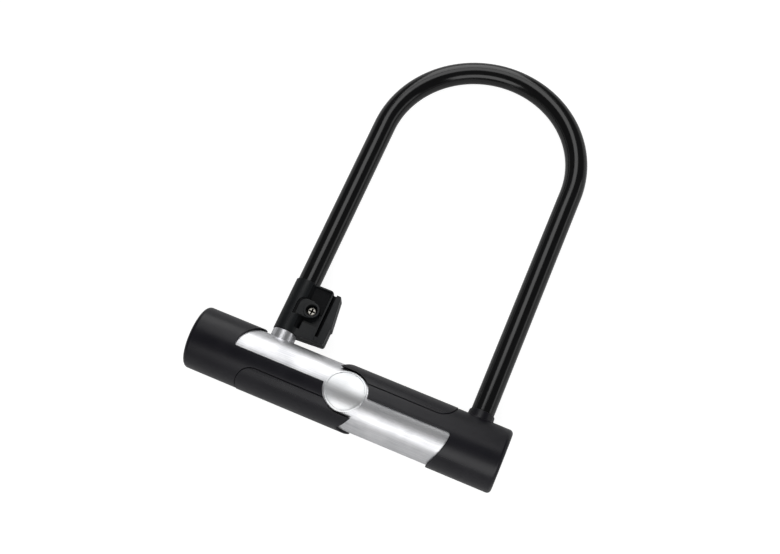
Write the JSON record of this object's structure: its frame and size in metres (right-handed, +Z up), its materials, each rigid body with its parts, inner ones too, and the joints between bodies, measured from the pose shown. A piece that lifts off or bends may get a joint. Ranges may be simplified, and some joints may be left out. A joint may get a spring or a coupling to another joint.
{
  "type": "bicycle u-lock",
  "caption": "Bicycle U-lock: a vinyl-coated steel shackle in an end-keyed crossbar with black covers, a bare silver tube and a carrying bracket on one leg.",
  "frame": {"origin": "on the ground under the middle of the lock as it lies on its back", "axes": "+X along the crossbar away from the key end, +Y from the crossbar towards the bow, +Z up, out of the badge side"},
  "size_m": [0.1992, 0.2696, 0.0394],
  "materials": {
    "tube_steel": "satin brushed",
    "cover_rubber": "moulded, satin",
    "badge_metal": "brushed",
    "polished_chrome": "polished",
    "zinc_block": "die-cast",
    "hardware_steel": "plated",
    "brass": "machined",
    "cam_steel": "hardened",
    "lid_plastic": "moulded",
    "rod_steel": "bare hardened steel",
    "vinyl": "glossy dipped vinyl",
    "bracket_plastic": "moulded, fine texture"
  },
  "bodies": {
    "crossbar": {"crossbar_tube": "tube_steel", "left_cover": "cover_rubber", "right_cover": "cover_rubber", "badge": "badge_metal", "left_leg_collar": "polished_chrome", "cylinder_housing": "zinc_block", "key_plate": "polished_chrome", "lid_rivet": "hardware_steel", "left_guide": "zinc_block", "right_guide": "zinc_block", "right_end_plug": "zinc_block", "retaining_pins": "hardware_steel"},
    "key_plug": {"key_plug": "brass", "wafers": "brass", "plug_clip": "hardware_steel", "drive_cam": "cam_steel", "cam_screw": "hardware_steel"},
    "dust_cover": {"dust_cover": "lid_plastic"},
    "bolts": {"bolt_bar": "cam_steel", "left_bolt": "cam_steel", "right_bolt": "cam_steel", "cam_pin": "hardware_steel", "bolt_screws": "hardware_steel"},
    "shackle": {"shackle_rod": "rod_steel", "shackle_sleeve": "vinyl", "bracket_front": "bracket_plastic", "bracket_rear": "bracket_plastic", "bracket_screw": "hardware_steel", "bracket_nut": "hardware_steel"}
  },
  "joints": [
    {"name": "shackle_slide", "type": "slide", "parent": "crossbar", "child": "shackle", "axis": [0, 0.9987, -0.0519], "range_m": [0, 0.06]},
    {"name": "plug_turn", "type": "hinge", "parent": "crossbar", "child": "key_plug", "pos_m": [0, -0.11479, 0.0197], "axis": [1, 0, 0], "range_deg": [0, 90]},
    {"name": "bolt_slide", "type": "slide", "parent": "crossbar", "child": "bolts", "axis": [1, 0, 0], "range_m": [0, 0.006]},
    {"name": "dust_cover_swing", "type": "hinge", "parent": "crossbar", "child": "dust_cover", "pos_m": [-0.09815, -0.1083, 0.01936], "axis": [1, 0, 0], "range_deg": [-75, 0]}
  ],
  "couplings": [
    {"joint": "plug_turn", "follows": "bolt_slide", "rad_per_m": 261.8}
  ]
}
